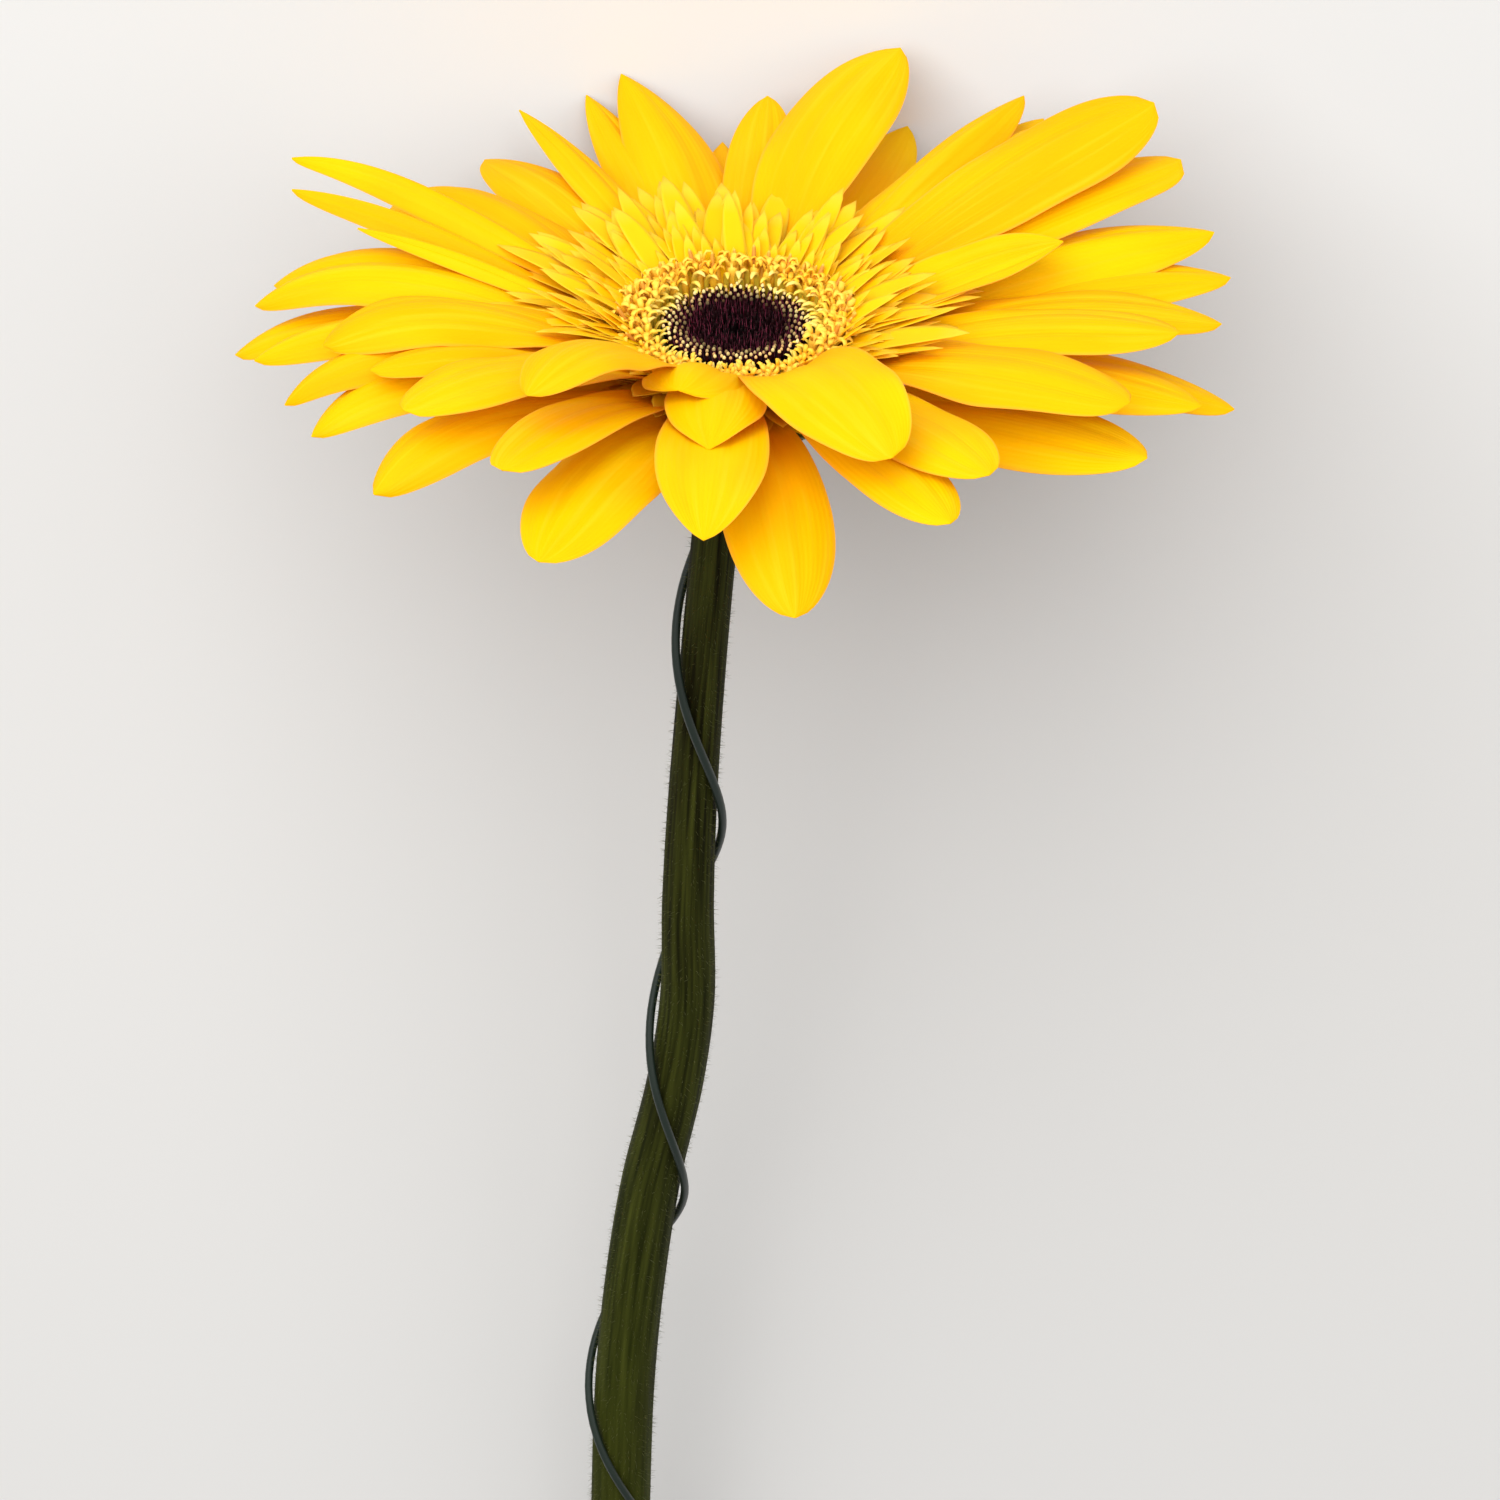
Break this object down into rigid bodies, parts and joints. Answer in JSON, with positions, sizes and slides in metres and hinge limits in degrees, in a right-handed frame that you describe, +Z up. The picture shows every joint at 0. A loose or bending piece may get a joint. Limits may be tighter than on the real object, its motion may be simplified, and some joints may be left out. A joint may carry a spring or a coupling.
{
  "type": "gerbera",
  "caption": "Cut semi-double yellow gerbera lying on its cut stalk end and back petals, with a thin florist's wire wound in a spiral round the stalk.",
  "frame": {"origin": "on the surface the flower lies on, under the middle of its bounding box", "axes": "+Z up from the surface; +Y along the flower from the cut end of the stalk to the head, whose face looks along +Y; +X to the right seen from above with the head at the top"},
  "size_m": [0.111, 0.3108, 0.0957],
  "materials": {
    "petal": "satin",
    "cream_floret": "matte",
    "lime_floret": "matte",
    "burgundy_bud": "matte",
    "bract": "matte",
    "stalk": "matte",
    "wire": "satin"
  },
  "bodies": {
    "root": {"flower_stalk": "stalk", "florists_wire": "wire", "receptacle": "bract", "outer_bracts": "bract", "middle_bracts": "bract", "inner_bracts": "bract", "ray_floret_01": "petal", "ray_floret_02": "petal", "ray_floret_03": "petal", "ray_floret_04": "petal", "ray_floret_05": "petal", "ray_floret_06": "petal", "ray_floret_07": "petal", "ray_floret_08": "petal", "ray_floret_09": "petal", "ray_floret_10": "petal", "ray_floret_11": "petal", "ray_floret_12": "petal", "ray_floret_13": "petal", "ray_floret_14": "petal", "ray_floret_15": "petal", "ray_floret_16": "petal", "ray_floret_17": "petal", "ray_floret_18": "petal", "ray_floret_19": "petal", "ray_floret_20": "petal", "ray_floret_21": "petal", "ray_floret_22": "petal", "ray_floret_23": "petal", "ray_floret_24": "petal", "ray_floret_25": "petal", "ray_floret_26": "petal", "ray_floret_27": "petal", "ray_floret_28": "petal", "ray_floret_29": "petal", "ray_floret_30": "petal", "ray_floret_31": "petal", "ray_floret_32": "petal", "ray_floret_33": "petal", "ray_floret_34": "petal", "ray_floret_35": "petal", "ray_floret_36": "petal", "ray_floret_37": "petal", "ray_floret_38": "petal", "ray_floret_39": "petal", "ray_floret_40": "petal", "ray_floret_41": "petal", "ray_floret_42": "petal", "ray_floret_43": "petal", "ray_floret_44": "petal", "ray_floret_45": "petal", "ray_floret_46": "petal", "trans_florets_outer": "petal", "trans_florets_middle": "petal", "trans_florets_inner": "petal", "disc_florets_open": "cream_floret", "disc_florets_opening": "lime_floret", "disc_buds": "burgundy_bud"}
  },
  "joints": []
}
